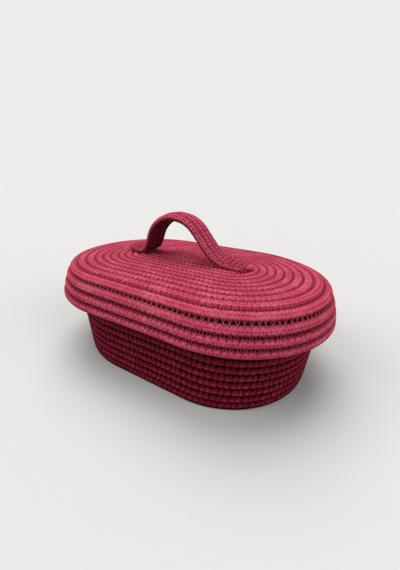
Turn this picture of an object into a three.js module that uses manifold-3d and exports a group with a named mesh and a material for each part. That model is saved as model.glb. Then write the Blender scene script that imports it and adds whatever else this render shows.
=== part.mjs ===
// Oval basket with a lift-off lid, coiled and sewn from soft braided rope.
// Millimetres, +Z up. The origin is on the surface that the basket stands on, under the middle of
// its floor. +X runs along the oval, and the lid lifts along +Z.
//
// Three ropes make the basket. The first is coiled flat for the floor and goes on upward as the
// wall. The second is coiled for the lid's top and goes on downward as its skirt. The third is
// folded into a strap of four runs for the handle. Each is one unbroken tube with six flat sides.

import * as THREE from 'three';
import Module from 'manifold-3d';

const wasm = await Module();
wasm.setup();

// Ropes. Across is the width from one neighbour to the next, thick is the width through the wall.
const baseRopeAcross = 5.4;
const lidRopeAcross = 6.3;
const lidRopeThick = 6.6;
const strapRopeAcross = 5.9;
const strapRopeThick = 6.2;

// Least room left between one coil and the next, where the sewing thread runs.
const baseCoilRoom = 0.5;
const lidCoilRoom = 0.7;
const strapRunRoom = 0.6;

// Basket body, outside sizes. The long sides lean in towards the rim and the ends lean out.
const floorHalfLength = 113.5;
const floorHalfWidth = 78.5;
const rimHalfLength = 116.8;
const rimHalfWidth = 74;
const rimHeight = 78.7;
const cornerRoom = 0.6;

// Lid. Slopes are measured down from level, from one coil to the next, at the shoulder, across the
// open gap below it, and down the two turns of the flared skirt.
const domeRise = 1.1;
const shoulderSlope = 20;
const gapSlope = 65;
const skirtSlope = 71;
const lipSlope = 76;
const shoulderRoom = 0.5;
const openGap = 2.1;

// Fit of the lid on the rim, and of the handle's feet on the lid.
const seatClearance = 0.35;
const footClearance = 0.3;

// Handle strap. It leans to one side: its crown stands off the middle and one leg is steeper.
const strapRuns = 4;
const crownRadius = 28.8;
const crownOffset = -15;
const handleHeight = 42.5;
const steepLegSlope = 72;
const gentleLegSlope = 50;
const steepFootBend = 10;
const gentleFootBend = 22;
const steepFootEnd = -66;
const gentleFootEnd = 57;

// Facets. Steps along each half circle of a coil, for the tight inner coils and the others.
const tightLoops = 7;
const tightSteps = 4;
const loopSteps = 8;
const crownSteps = 8;
const bendSteps = 4;
const foldSteps = 4;

const ropeColour = 0x9c3048;

const ropeSides = 6;
const quarterTurn = Math.PI / 2;
const up = new THREE.Vector3(0, 0, 1);

function radians(degrees) {
  return THREE.MathUtils.degToRad(degrees);
}

// A place on a rope: the middle of the rope, the way it runs, and its thickness direction. The
// width direction follows from the two. Tilt turns the section about the way the rope runs.
function station(centre, along, thickness, tilt = 0) {
  const across = new THREE.Vector3().crossVectors(along, thickness);
  const c = Math.cos(tilt);
  const s = Math.sin(tilt);
  return {
    centre,
    across: across.clone().multiplyScalar(c).addScaledVector(thickness, s),
    thickness: thickness.clone().multiplyScalar(c).addScaledVector(across, -s),
  };
}

// The rope's section as six corners, with two flat sides that face the neighbouring runs.
function ropeSection(across, thick) {
  return [
    [across / 2, -thick / 4],
    [across / 2, thick / 4],
    [0, thick / 2],
    [-across / 2, thick / 4],
    [-across / 2, -thick / 4],
    [0, -thick / 2],
  ];
}

function ropeRing(place, section) {
  return section.map(([a, t]) => place.centre
    .clone()
    .addScaledVector(place.across, a)
    .addScaledVector(place.thickness, t));
}

// One closed tube through the stations, with a flat face at each end.
function ropeGeometry(rings) {
  const positions = rings.flat().flatMap((p) => [p.x, p.y, p.z]);
  const corner = (ring, side) => ring * ropeSides + (side % ropeSides);
  const index = [];
  for (let ring = 0; ring + 1 < rings.length; ring += 1) {
    for (let side = 0; side < ropeSides; side += 1) {
      index.push(corner(ring, side), corner(ring + 1, side + 1), corner(ring, side + 1));
      index.push(corner(ring, side), corner(ring + 1, side), corner(ring + 1, side + 1));
    }
  }
  const last = rings.length - 1;
  for (let side = 1; side + 1 < ropeSides; side += 1) {
    index.push(corner(0, 0), corner(0, side), corner(0, side + 1));
    index.push(corner(last, 0), corner(last, side + 1), corner(last, side));
  }
  const geometry = new THREE.BufferGeometry();
  geometry.setAttribute('position', new THREE.Float32BufferAttribute(positions, 3));
  geometry.setIndex(index);
  return geometry;
}

// Coils. A level is the line that a coil keeps: its radius beyond the straight, its height, half
// the straight's length and the section's tilt. At one end of the oval the rope steps over to the
// next level, and everywhere else it keeps to its own, as on the real coil. The step is at the
// -X end and the rope starts and ends on the +Y side, away from the usual view.
function steppingArc(from, to, steps, climbs) {
  const places = [];
  for (let i = 1; i <= steps; i += 1) {
    const turn = (Math.PI * i) / steps;
    const share = (1 - Math.cos(turn)) / 2;
    // A coil that climbs rolls over the one below it, a rope's width away all the time.
    const climb = climbs ? Math.sqrt(1 - Math.cos(turn / 2) ** 4) : share;
    const radius = (from.radius + to.radius) / 2;
    const straight = THREE.MathUtils.lerp(from.straight, to.straight, share);
    const centre = new THREE.Vector3(
      straight + radius * Math.sin(turn),
      (to.radius - from.radius) / 2 - radius * Math.cos(turn),
      THREE.MathUtils.lerp(from.height, to.height, climb),
    );
    const along = new THREE.Vector3(Math.cos(turn), Math.sin(turn), 0);
    places.push(station(
      centre,
      along,
      up,
      THREE.MathUtils.lerp(from.tilt, to.tilt, Math.sin(turn / 2)),
    ));
  }
  return places;
}

function plainArc(level, steps) {
  const places = [];
  for (let i = 0; i <= steps; i += 1) {
    const turn = (Math.PI * i) / steps;
    const centre = new THREE.Vector3(
      -level.straight - level.radius * Math.sin(turn),
      level.radius * Math.cos(turn),
      level.height,
    );
    const along = new THREE.Vector3(-Math.cos(turn), -Math.sin(turn), 0);
    places.push(station(centre, along, up, level.tilt));
  }
  return places;
}

function coil(levels, firstClimb) {
  const alongX = new THREE.Vector3(1, 0, 0);
  const core = levels[0];
  const start = new THREE.Vector3(-core.straight, -core.radius, core.height);
  const places = [station(start, alongX, up, core.tilt)];
  levels.forEach((level, k) => {
    const end = new THREE.Vector3(level.straight, -level.radius, level.height);
    places.push(station(end, alongX, up, level.tilt));
    if (k + 1 < levels.length) {
      const steps = k < tightLoops ? tightSteps : loopSteps;
      places.push(...steppingArc(level, levels[k + 1], steps, k >= firstClimb));
      places.push(...plainArc(levels[k + 1], steps));
    }
  });
  // Half a turn puts the step at the -X end and both rope ends on the +Y side.
  const halfTurn = new THREE.Matrix4().makeRotationZ(Math.PI);
  for (const place of places) {
    place.centre.applyMatrix4(halfTurn);
    place.across.applyMatrix4(halfTurn);
    place.thickness.applyMatrix4(halfTurn);
  }
  return places;
}

// Least gap between parts of one rope that lie beside each other. Points along each stretch are
// measured against the faces of every stretch that lies further on along the rope than one and a
// half times its girth. What is nearer along the rope is the inside of one bend.
function leastGapToItself(rings) {
  const stretches = [];
  for (let i = 0; i + 1 < rings.length; i += 1) {
    const faces = [];
    const points = [];
    for (let side = 0; side < ropeSides; side += 1) {
      const next = (side + 1) % ropeSides;
      const [a, b] = [rings[i][side], rings[i][next]];
      const [c, d] = [rings[i + 1][side], rings[i + 1][next]];
      faces.push(new THREE.Triangle(a, d, b), new THREE.Triangle(a, c, d));
      for (const share of [0, 1 / 3, 2 / 3, 1]) {
        const edge = a.clone().lerp(c, share);
        points.push(edge, edge.clone().lerp(b.clone().lerp(d, share), 1 / 2));
      }
    }
    const box = new THREE.Box3().setFromPoints([...rings[i], ...rings[i + 1]]);
    const middles = [rings[i], rings[i + 1]].map((ring) => ring
      .reduce((sum, p) => sum.add(p), new THREE.Vector3())
      .divideScalar(ropeSides));
    stretches.push({ faces, points, box, length: middles[0].distanceTo(middles[1]) });
  }
  const girth = rings[0][0].distanceTo(rings[0][ropeSides / 2]);
  const bendLength = girth * 1.5;
  const spot = new THREE.Vector3();
  let least = Infinity;
  stretches.forEach((here, i) => {
    let between = 0;
    for (let j = i + 1; j < stretches.length; j += 1) {
      const there = stretches[j];
      const apart = between > bendLength;
      between += there.length;
      const near = here.box.clone().expandByScalar(Math.min(least, girth));
      if (apart && near.intersectsBox(there.box)) {
        for (const [one, other] of [[here, there], [there, here]]) {
          for (const point of one.points) {
            for (const face of other.faces) {
              least = Math.min(least, face.closestPointToPoint(point, spot).distanceTo(point));
            }
          }
        }
      }
    }
  });
  return least;
}

function ropeSolid(name, places, section) {
  const rings = places.map((place) => ropeRing(place, section));
  console.log(`${name}: least gap to itself ${leastGapToItself(rings).toFixed(2)} mm`);
  return ropeGeometry(rings);
}

// Basket body.
const baseRopeThick = (baseRopeAcross * 2) / Math.sqrt(3);
const baseCoilPitch = baseRopeAcross + baseCoilRoom;
const standingCut = baseRopeThick / 10;
const floorLevel = baseRopeThick / 2 - standingCut;
const floorRadius = floorHalfWidth - baseRopeThick / 2;
const floorStraight = floorHalfLength - floorHalfWidth;
const rimRadius = rimHalfWidth - baseRopeThick / 2;
const rimStraight = rimHalfLength - rimHalfWidth;
const rimLevel = rimHeight - baseRopeAcross / 2;

function baseLevels() {
  const floorCoils = Math.floor(floorRadius / baseCoilPitch);
  const wallBottom = floorLevel + cornerRoom;
  const wallCoils = Math.floor((rimLevel - wallBottom) / baseCoilPitch);
  const levels = [];
  for (let k = 0; k <= floorCoils; k += 1) {
    levels.push({
      radius: (floorRadius * k) / floorCoils,
      height: floorLevel,
      straight: floorStraight,
      // The wall stands on the last floor coil, whose section is turned to face it.
      tilt: k < floorCoils ? 0 : quarterTurn,
    });
  }
  for (let k = 1; k <= wallCoils; k += 1) {
    const share = k / wallCoils;
    levels.push({
      radius: THREE.MathUtils.lerp(floorRadius, rimRadius, share),
      height: THREE.MathUtils.lerp(wallBottom, rimLevel, share),
      straight: THREE.MathUtils.lerp(floorStraight, rimStraight, share),
      tilt: quarterTurn,
    });
  }
  return { levels, firstClimb: floorCoils };
}

// The underside is cut level, so that the floor's coils stand on flat strips.
function cutLevel(geometry) {
  const below = new THREE.BoxGeometry(4 * floorHalfLength, 4 * floorHalfWidth, 2 * rimHeight);
  below.translate(0, 0, -rimHeight);
  const solids = [geometry, below].map((shape) => toManifold(shape));
  const kept = solids[0].subtract(solids[1]).getMesh();
  const result = new THREE.BufferGeometry();
  result.setAttribute('position', new THREE.BufferAttribute(kept.vertProperties, kept.numProp));
  result.setIndex(new THREE.BufferAttribute(kept.triVerts, 1));
  return result;
}

function toManifold(geometry) {
  const shared = new Map();
  const vertices = [];
  const position = geometry.getAttribute('position');
  const renumber = [];
  for (let i = 0; i < position.count; i += 1) {
    const p = [position.getX(i), position.getY(i), position.getZ(i)];
    const key = p.map((value) => value.toFixed(4)).join(' ');
    if (!shared.has(key)) {
      shared.set(key, vertices.length / 3);
      vertices.push(...p);
    }
    renumber.push(shared.get(key));
  }
  const triangles = Array.from(geometry.getIndex().array, (i) => renumber[i]);
  return new wasm.Manifold(new wasm.Mesh({
    numProp: 3,
    vertProperties: Float32Array.from(vertices),
    triVerts: Uint32Array.from(triangles),
  }));
}

function baseRope() {
  const { levels, firstClimb } = baseLevels();
  const section = ropeSection(baseRopeAcross, baseRopeThick);
  return cutLevel(ropeSolid('base_rope', coil(levels, firstClimb), section));
}

// Lid. Its last flat coil lies on the rim. The shoulder and the skirt follow from it, coil by coil.
const lidCoilPitch = lidRopeAcross + lidCoilRoom;
const seatLevel = rimHeight + seatClearance + lidRopeThick / 2;
const lidTop = seatLevel + domeRise + lidRopeThick / 2;

function alongSlope(from, distance, slope) {
  return {
    radius: from.radius + distance * Math.cos(radians(slope)),
    height: from.height - distance * Math.sin(radians(slope)),
  };
}

function lidLevels() {
  const flatCoils = Math.floor(rimRadius / lidCoilPitch);
  const levels = [];
  for (let k = 0; k <= flatCoils; k += 1) {
    const share = k / flatCoils;
    levels.push({
      radius: rimRadius * share,
      height: seatLevel + domeRise * (1 - share ** 3),
      straight: rimStraight,
      tilt: k < flatCoils ? 0 : -radians(shoulderSlope) / 2,
    });
  }
  const steps = [
    [lidCoilPitch + shoulderRoom, shoulderSlope],
    [lidCoilPitch + openGap, gapSlope],
    [lidCoilPitch, skirtSlope],
    [lidCoilPitch, lipSlope],
  ];
  for (const [distance, slope] of steps) {
    levels.push({
      ...alongSlope(levels[levels.length - 1], distance, slope),
      straight: rimStraight,
      tilt: -radians(slope),
    });
  }
  return levels;
}

function lidRope() {
  const section = ropeSection(lidRopeAcross, lidRopeThick);
  return ropeSolid('lid_rope', coil(lidLevels(), Infinity), section);
}

// Handle strap: the line that its middle follows in the XZ plane, from the gentle leg's foot over
// the crown to the steep leg's foot, as points with the direction in which the strap runs there.
const footLevel = lidTop + footClearance + strapRopeThick / 2;
const crownHeight = lidTop + handleHeight - strapRopeThick / 2 - crownRadius;

function arcPoints(middle, radius, from, to, steps, turning) {
  const points = [];
  for (let i = 0; i <= steps; i += 1) {
    const angle = radians(THREE.MathUtils.lerp(from, to, i / steps));
    points.push({
      x: middle.x + radius * Math.cos(angle),
      z: middle.z + radius * Math.sin(angle),
      alongX: -Math.sin(angle) * turning,
      alongZ: Math.cos(angle) * turning,
    });
  }
  return points;
}

// The middle of a foot's bend: beside the leg's line and above the foot's level by its radius.
function footBend(bend, slope, side) {
  const angle = radians(slope);
  const top = {
    x: crownOffset + side * crownRadius * Math.sin(angle),
    z: crownHeight + crownRadius * Math.cos(angle),
  };
  const z = footLevel + bend;
  const run = (top.z - z + bend * Math.cos(angle)) / Math.tan(angle);
  return { x: top.x + side * (run + bend * Math.sin(angle)), z };
}

function strapLine() {
  const gentle = footBend(gentleFootBend, gentleLegSlope, 1);
  const steep = footBend(steepFootBend, steepLegSlope, -1);
  const crown = { x: crownOffset, z: crownHeight };
  return [
    { x: gentleFootEnd, z: footLevel, alongX: -1, alongZ: 0 },
    ...arcPoints(gentle, gentleFootBend, 270, 270 - gentleLegSlope, bendSteps, -1),
    ...arcPoints(crown, crownRadius, 90 - gentleLegSlope, 90 + steepLegSlope, crownSteps, 1),
    ...arcPoints(steep, steepFootBend, 270 + steepLegSlope, 270, bendSteps, -1),
    { x: steepFootEnd, z: footLevel, alongX: -1, alongZ: 0 },
  ];
}

function strapRun(line, y, forward) {
  const ordered = forward ? line : [...line].reverse();
  const sense = forward ? 1 : -1;
  return ordered.map((point) => station(
    new THREE.Vector3(point.x, y, point.z),
    new THREE.Vector3(sense * point.alongX, 0, sense * point.alongZ),
    new THREE.Vector3(point.alongZ, 0, -point.alongX),
  ));
}

// A fold joins one run to the next in a half circle, flat on the foot.
function strapFold(x, y, radius, side) {
  const places = [];
  for (let i = 1; i < foldSteps; i += 1) {
    const turn = (Math.PI * i) / foldSteps;
    places.push(station(
      new THREE.Vector3(x + side * radius * Math.sin(turn), y - radius * Math.cos(turn), footLevel),
      new THREE.Vector3(side * Math.cos(turn), Math.sin(turn), 0),
      up,
    ));
  }
  return places;
}

function handleStrap() {
  const line = strapLine();
  const pitch = strapRopeAcross + strapRunRoom;
  const places = [];
  for (let run = 0; run < strapRuns; run += 1) {
    const forward = run % 2 === 0;
    const y = (run - (strapRuns - 1) / 2) * pitch;
    places.push(...strapRun(line, y, forward));
    if (run + 1 < strapRuns) {
      const x = forward ? steepFootEnd : gentleFootEnd;
      places.push(...strapFold(x, y + pitch / 2, pitch / 2, forward ? -1 : 1));
    }
  }
  return ropeSolid('handle_strap', places, ropeSection(strapRopeAcross, strapRopeThick));
}

function ropeMesh(name, geometry) {
  const material = new THREE.MeshStandardMaterial({
    color: ropeColour,
    roughness: 0.9,
    metalness: 0,
  });
  const mesh = new THREE.Mesh(geometry, material);
  mesh.name = name;
  return mesh;
}

const basket = new THREE.Group();
basket.add(ropeMesh('base_rope', baseRope()));
const lid = new THREE.Group();
lid.add(ropeMesh('lid_rope', lidRope()));
lid.add(ropeMesh('handle_strap', handleStrap()));
basket.add(lid);

export default basket;
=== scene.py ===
"""The look of an oval rope basket with a lift-off lid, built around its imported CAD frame.

The basket is three braided ropes, each coiled or folded and sewn to itself with zigzag thread.
Every rope is a tube laid along the same path as its CAD solid, with the dents that its stitches
pull into it, and every seam is a real thread. Sizes are in millimetres until a mesh is made.
"""

import logging
import math
from collections.abc import Iterator
from dataclasses import dataclass, field, replace
from enum import Enum
from functools import cache

import bmesh
import bpy
import numpy as np
from mathutils import Matrix, Vector

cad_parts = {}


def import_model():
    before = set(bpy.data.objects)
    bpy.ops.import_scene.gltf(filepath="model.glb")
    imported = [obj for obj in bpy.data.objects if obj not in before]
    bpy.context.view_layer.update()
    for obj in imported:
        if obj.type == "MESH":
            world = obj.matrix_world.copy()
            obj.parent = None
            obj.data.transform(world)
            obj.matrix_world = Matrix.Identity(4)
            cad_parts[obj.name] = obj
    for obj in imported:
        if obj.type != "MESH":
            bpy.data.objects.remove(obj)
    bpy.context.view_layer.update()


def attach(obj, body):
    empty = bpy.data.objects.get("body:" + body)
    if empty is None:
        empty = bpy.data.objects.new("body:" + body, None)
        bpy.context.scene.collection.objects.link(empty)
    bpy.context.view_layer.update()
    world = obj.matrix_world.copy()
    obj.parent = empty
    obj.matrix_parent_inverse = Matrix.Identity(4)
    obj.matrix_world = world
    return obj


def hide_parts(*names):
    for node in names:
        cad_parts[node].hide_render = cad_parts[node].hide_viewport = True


LOG = logging.getLogger("basket")
MM = 0.001
TAU = 2 * math.pi
UP = np.array([0.0, 0.0, 1.0])
FINE = 600  # places in a turn at which a winding's lengths are measured
TURN_LENGTH = 400.0  # a middling turn, by which the UV map of a later stretch starts later
MERGE = 1e-7  # places this close are one, in metres
ROOM = 0.01  # what a rope leaves free towards its neighbour

Colour = tuple[float, float, float, float]
Triple = tuple[float, float, float]


# Shader maths


@dataclass(frozen=True)
class Wire:
    """A shader socket, with the arithmetic of Math nodes."""

    shader: "Shader"
    source: bpy.types.NodeSocket

    def maths(self, operation: str, *values: object) -> "Wire":
        """Adds a Math node on wires or numbers, and returns its output."""
        kind = "ShaderNodeMath"
        return self.shader.node(kind, {"operation": operation}, dict(enumerate(values)))

    def __add__(self, other: object) -> "Wire":
        """Returns self + other."""
        return self.maths("ADD", self, other)

    def __radd__(self, other: object) -> "Wire":
        """Returns other + self."""
        return self.maths("ADD", other, self)

    def __sub__(self, other: object) -> "Wire":
        """Returns self - other."""
        return self.maths("SUBTRACT", self, other)

    def __rsub__(self, other: object) -> "Wire":
        """Returns other - self."""
        return self.maths("SUBTRACT", other, self)

    def __mul__(self, other: object) -> "Wire":
        """Returns self times other."""
        return self.maths("MULTIPLY", self, other)

    def __rmul__(self, other: object) -> "Wire":
        """Returns other times self."""
        return self.maths("MULTIPLY", other, self)

    def __truediv__(self, other: object) -> "Wire":
        """Returns self over other."""
        return self.maths("DIVIDE", self, other)

    def __pow__(self, other: object) -> "Wire":
        """Returns self to the power of other."""
        return self.maths("POWER", self, other)

    def fraction(self) -> "Wire":
        """Returns what is left after the whole part."""
        return self.maths("FRACT", self)

    def size(self) -> "Wire":
        """Returns self without its sign."""
        return self.maths("ABSOLUTE", self)

    def above(self, limit: float) -> "Wire":
        """Returns 1 above the limit and 0 elsewhere."""
        return self.maths("GREATER_THAN", self, limit)

    def largest(self, other: object) -> "Wire":
        """Returns the larger of the two."""
        return self.maths("MAXIMUM", self, other)

    def clipped(self) -> "Wire":
        """Returns self kept between 0 and 1."""
        return self.shader.node("ShaderNodeClamp", inputs={"Value": self})

    def hump(self) -> "Wire":
        """Returns one rounded hump, from 0 to 1 and back, for each whole number."""
        return self.maths("SINE", self * math.pi).size()


class Shader:
    """Builds the nodes of a material or of the world."""

    def __init__(self, owner: bpy.types.Material | bpy.types.World) -> None:
        """Starts with no nodes.

        Args:
            owner: what the nodes are for.
        """
        owner.use_nodes = True
        self.tree = owner.node_tree
        self.tree.nodes.clear()

    def node(
        self,
        kind: str,
        settings: dict[str, object] | None = None,
        inputs: dict[str | int, object] | None = None,
        output: str | int = 0,
    ) -> Wire | None:
        """Adds a node.

        Args:
            kind: the node's type.
            settings: attributes, set before the sockets.
            inputs: values or wires by socket name or number.
            output: the name or number of the output to return.

        Returns:
            The chosen output, or None for a node without outputs.
        """
        node = self.tree.nodes.new(kind)
        for name, value in (settings or {}).items():
            setattr(node, name, value)
        for name, value in (inputs or {}).items():
            if isinstance(value, Wire):
                self.tree.links.new(value.source, node.inputs[name])
            else:
                node.inputs[name].default_value = value
        return Wire(self, node.outputs[output]) if node.outputs else None

    def mix(self, amount: Wire, low: object, high: object) -> Wire:
        """Mixes from the low colour at 0 to the high one at 1."""
        return self.node("ShaderNodeMix", {"data_type": "RGBA"}, {0: amount, 6: low, 7: high}, 2)

    def along_and_around(self) -> tuple[Wire, Wire]:
        """Reads the UV map of a rope or thread.

        Returns:
            How far along it a place is, in metres, and how far round it, from 0 to 1.
        """
        uv = self.node("ShaderNodeTexCoord", output="UV")
        along = self.node("ShaderNodeSeparateXYZ", inputs={"Vector": uv})
        return along, Wire(self, along.source.node.outputs[1])

    def mark(self, name: str) -> Wire:
        """Reads a number that the mesh holds at each point."""
        return self.node("ShaderNodeAttribute", {"attribute_name": name}, output="Fac")

    def noise(self, scale: float, detail: float) -> Wire:
        """Adds smooth noise.

        Args:
            scale: waves in a metre.
            detail: octaves.

        Returns:
            A value about 0.5.
        """
        place = self.node("ShaderNodeTexCoord", output="Object")
        inputs = {"Vector": place, "Scale": scale, "Detail": detail}
        return self.node("ShaderNodeTexNoise", inputs=inputs)

    def bump(self, height: Wire, depth: float, strength: float) -> Wire:
        """Returns the normals for a height of 0 to 1 that stands for so many millimetres."""
        inputs = {"Strength": strength, "Distance": depth * MM, "Height": height}
        return self.node("ShaderNodeBump", inputs=inputs)

    def finish(self, sockets: dict[str, object]) -> None:
        """Ends the material in a Principled shader with these values and wires."""
        surface = self.node("ShaderNodeBsdfPrincipled", inputs=sockets)
        self.node("ShaderNodeOutputMaterial", inputs={"Surface": surface})


def paint(red: int, green: int, blue: int) -> Colour:
    """Turns a colour as a screen shows it into a node's colour.

    Args:
        red: 0 to 255.
        green: 0 to 255.
        blue: 0 to 255.

    Returns:
        The colour in linear light, with full alpha.
    """

    def linear(value: int) -> float:
        """Returns the linear value of one channel."""
        share = value / 255
        return share / 12.92 if share <= 0.04045 else ((share + 0.055) / 1.055) ** 2.4

    return (linear(red), linear(green), linear(blue), 1.0)


@dataclass(frozen=True)
class Finish:
    """A finish, which makes its material once."""

    name: str

    @cache
    def material(self) -> bpy.types.Material:
        """Builds the material, the first time that it is asked for.

        Returns:
            The one material of this finish.
        """
        made = bpy.data.materials.new(self.name)
        self.dress(Shader(made))
        return made

    def dress(self, shader: Shader) -> None:
        """Adds the material's nodes, which each kind of finish does its own way."""
        raise NotImplementedError


@dataclass(frozen=True)
class BraidFinish(Finish):
    """Soft braided cord: rows of slanting strands round the rope, worn and faded in places.

    Lengths are in millimetres, and a scale is in waves to a metre.
    """

    strand: Colour
    # Painted shade: the colour of the hollows between the strands.
    hollow_shade: Colour
    faded: Colour
    # Painted shade: the colour mixed in at dents, grooves, undersides and needle holes.
    painted_shade: Colour
    rows: int = 8
    strand_length: float = 2.3
    slant: float = 1.3
    drift: float = 0.35
    drift_scale: float = 260.0
    strand_fullness: float = 0.6
    row_fullness: float = 0.5
    tone: float = 0.6
    relief: float = 0.45
    fibre_relief: float = 0.35
    fibre_scale: float = 2600.0
    blotch_scale: float = 55.0
    blotch_level: float = 0.42
    mottle_scale: float = 420.0
    contrast: float = 1.6
    wear: float = 0.6
    roughness: float = 0.88
    roughness_spread: float = 0.2
    sheen: float = 0.03
    pitch: float = 4.18
    hole_angle: float = 64.0
    hole_size: float = 0.62
    hole_edge: float = 1.25
    hole_depth: float = 1.5
    degree_length: float = 0.06

    def needle_holes(self, shader: Shader, around: Wire) -> Wire:
        """Finds the needle holes of the seams on both sides of the rope.

        Args:
            shader: the material's builder.
            around: the place round the section, from 0 to 1.

        Returns:
            1 in a hole and 0 away from it.
        """
        holes = []
        for mark in ("after", "before"):
            turned = ((around - shader.mark(f"{mark}_turn") + 0.5).fraction() - 0.5).size()
            along = ((shader.mark(mark) + 0.5).fraction() - 0.5) * self.pitch
            across = (turned * 360.0 - self.hole_angle) * self.degree_length
            away = (along * along + across * across) ** 0.5
            holes.append((self.hole_edge - away / self.hole_size).clipped())
        return holes[0].largest(holes[1]) * shader.mark("sewn")

    def dress(self, shader: Shader) -> None:
        """Lays the strands on the rope's own UV map, with painted shade in the hollows between
        them, in the needle holes, and in the dents, grooves and undersides that the shade mark
        gives.

        Args:
            shader: the material's builder.
        """
        along, around = shader.along_and_around()
        row = around * self.rows
        across = row.fraction()
        side = (row * 0.5).fraction().above(0.5) * 2.0 - 1.0
        lay = along / (self.strand_length * MM) + (across - 0.5) * side * self.slant
        lay = lay + shader.noise(self.drift_scale, 1.0) * self.drift
        height = lay.hump() ** self.strand_fullness * across.hump() ** self.row_fullness
        fibres = shader.noise(self.fibre_scale, 3.0)
        blotch = shader.noise(self.blotch_scale, 3.0)
        mottle = shader.noise(self.mottle_scale, 2.0)
        # Painted shade in the hollows between the strands.
        colour = shader.mix(height**self.tone, self.hollow_shade, self.strand)
        wear = (blotch - self.blotch_level) * self.contrast + (mottle - 0.5) * self.contrast
        colour = shader.mix((wear * self.wear).clipped(), colour, self.faded)
        holes = self.needle_holes(shader, around) * (mottle * self.contrast - 0.1).clipped()
        # Painted shade in the dents, grooves and undersides that the shade mark gives, and in the
        # needle holes.
        colour = shader.mix(shader.mark("shade").largest(holes), colour, self.painted_shade)
        height = height + fibres * self.fibre_relief - holes * self.hole_depth
        shader.finish(
            {
                "Base Color": colour,
                "Roughness": (fibres - 0.5) * self.roughness_spread + self.roughness,
                "Normal": shader.bump(height, self.relief, 0.9),
                "Sheen Weight": self.sheen,
                "Sheen Roughness": 0.5,
                "Sheen Tint": self.faded,
                "Specular IOR Level": 0.0,
            }
        )


@dataclass(frozen=True)
class ThreadFinish(Finish):
    """Twisted sewing thread."""

    ply: Colour
    # Painted shade: the colour between the plies.
    hollow_shade: Colour
    twist_length: float = 1.1
    speckle: float = 0.3
    speckle_scale: float = 900.0
    relief: float = 0.12
    roughness: float = 0.55

    def dress(self, shader: Shader) -> None:
        """Winds the plies round the thread, on its own UV map, with painted shade between them.

        Args:
            shader: the material's builder.
        """
        along, around = shader.along_and_around()
        twist = (along / (self.twist_length * MM) + around).hump()
        speckle = shader.noise(self.speckle_scale, 2.0) * self.speckle
        # Painted shade between the plies.
        colour = shader.mix(twist * (1 - self.speckle) + speckle, self.hollow_shade, self.ply)
        normal = shader.bump(twist, self.relief, 0.6)
        sockets = {"Base Color": colour, "Roughness": self.roughness, "Normal": normal}
        shader.finish(sockets | {"Specular IOR Level": 0.2})


# Painted light and shade: the body's braid and thread are the lid's cord and thread painted darker
# as shade, and the strap's braid is the lid's cord painted lighter as light.
LID_BRAID = BraidFinish(
    "lid_braid",
    strand=paint(220, 82, 112),
    hollow_shade=paint(100, 4, 28),
    faded=paint(242, 136, 156),
    painted_shade=paint(52, 0, 10),
)
SHADED_BODY_BRAID = BraidFinish(
    "shaded_body_braid",
    strand=paint(192, 44, 74),
    hollow_shade=paint(54, 0, 9),
    faded=paint(214, 86, 112),
    painted_shade=paint(18, 0, 3),
    relief=0.6,
    sheen=0.01,
    pitch=4.55,
    hole_angle=76.0,
)
LIT_STRAP_BRAID = BraidFinish(
    "lit_strap_braid",
    strand=paint(248, 98, 130),
    hollow_shade=paint(108, 8, 32),
    faded=paint(252, 140, 162),
    painted_shade=paint(44, 0, 10),
    relief=0.8,
    pitch=3.2,
)
LID_THREAD = ThreadFinish("lid_thread", paint(206, 70, 100), paint(120, 14, 38))
SHADED_BODY_THREAD = ThreadFinish("shaded_body_thread", paint(146, 36, 60), paint(60, 2, 16))
GAP_THREAD = ThreadFinish("gap_thread", paint(220, 96, 122), paint(140, 30, 54))


# Meshes


def unit(vectors: np.ndarray) -> np.ndarray:
    """Returns the vectors with a length of one."""
    return vectors / np.linalg.norm(vectors, axis=-1, keepdims=True)


def lengths(points: np.ndarray) -> np.ndarray:
    """Returns how far along a row of points each one is."""
    steps = np.linalg.norm(np.diff(points, axis=0), axis=1)
    return np.concatenate([[0], np.cumsum(steps)])


def add_object(name: str, data: bpy.types.ID) -> bpy.types.Object:
    """Adds an object to the scene.

    Args:
        name: the object's name.
        data: its mesh, light or camera.

    Returns:
        The object.
    """
    added = bpy.data.objects.new(name, data)
    bpy.context.scene.collection.objects.link(added)
    return added


def grid_object(
    name: str, points: np.ndarray, uvs: np.ndarray, marks: dict[str, np.ndarray]
) -> bpy.types.Object:
    """Rolls a flat grid into a closed shape.

    Args:
        name: the object's name.
        points: its places in millimetres, row by row; equal places are merged.
        uvs: the UV of each place.
        marks: numbers at each place for the material, by name.

    Returns:
        The linked object, at the origin.
    """
    rows, columns = points.shape[:2]
    sheet = bmesh.new()
    sheet.loops.layers.uv.new("UVMap")
    bmesh.ops.create_grid(sheet, x_segments=columns - 1, y_segments=rows - 1, size=1)
    mesh = bpy.data.meshes.new(name)
    sheet.to_mesh(mesh)
    mesh.vertices.foreach_set("co", (points * MM).ravel())
    for mark, values in marks.items():
        layer = mesh.attributes.new(mark, "FLOAT", "POINT")
        layer.data.foreach_set("value", values.ravel())
    corners = np.empty(len(mesh.loops), np.int32)
    mesh.loops.foreach_get("vertex_index", corners)
    mesh.uv_layers[0].data.foreach_set("uv", uvs.reshape(-1, 2)[corners].ravel())
    sheet.clear()
    sheet.from_mesh(mesh)
    bmesh.ops.remove_doubles(sheet, verts=sheet.verts, dist=MERGE)
    bmesh.ops.recalc_face_normals(sheet, faces=sheet.faces)
    sheet.to_mesh(mesh)
    sheet.free()
    mesh.polygons.foreach_set("use_smooth", np.ones(len(mesh.polygons), bool))
    return add_object(name, mesh)


class End(Enum):
    """How a tube ends."""

    ROUND = "round"
    CUT = "cut"


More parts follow.
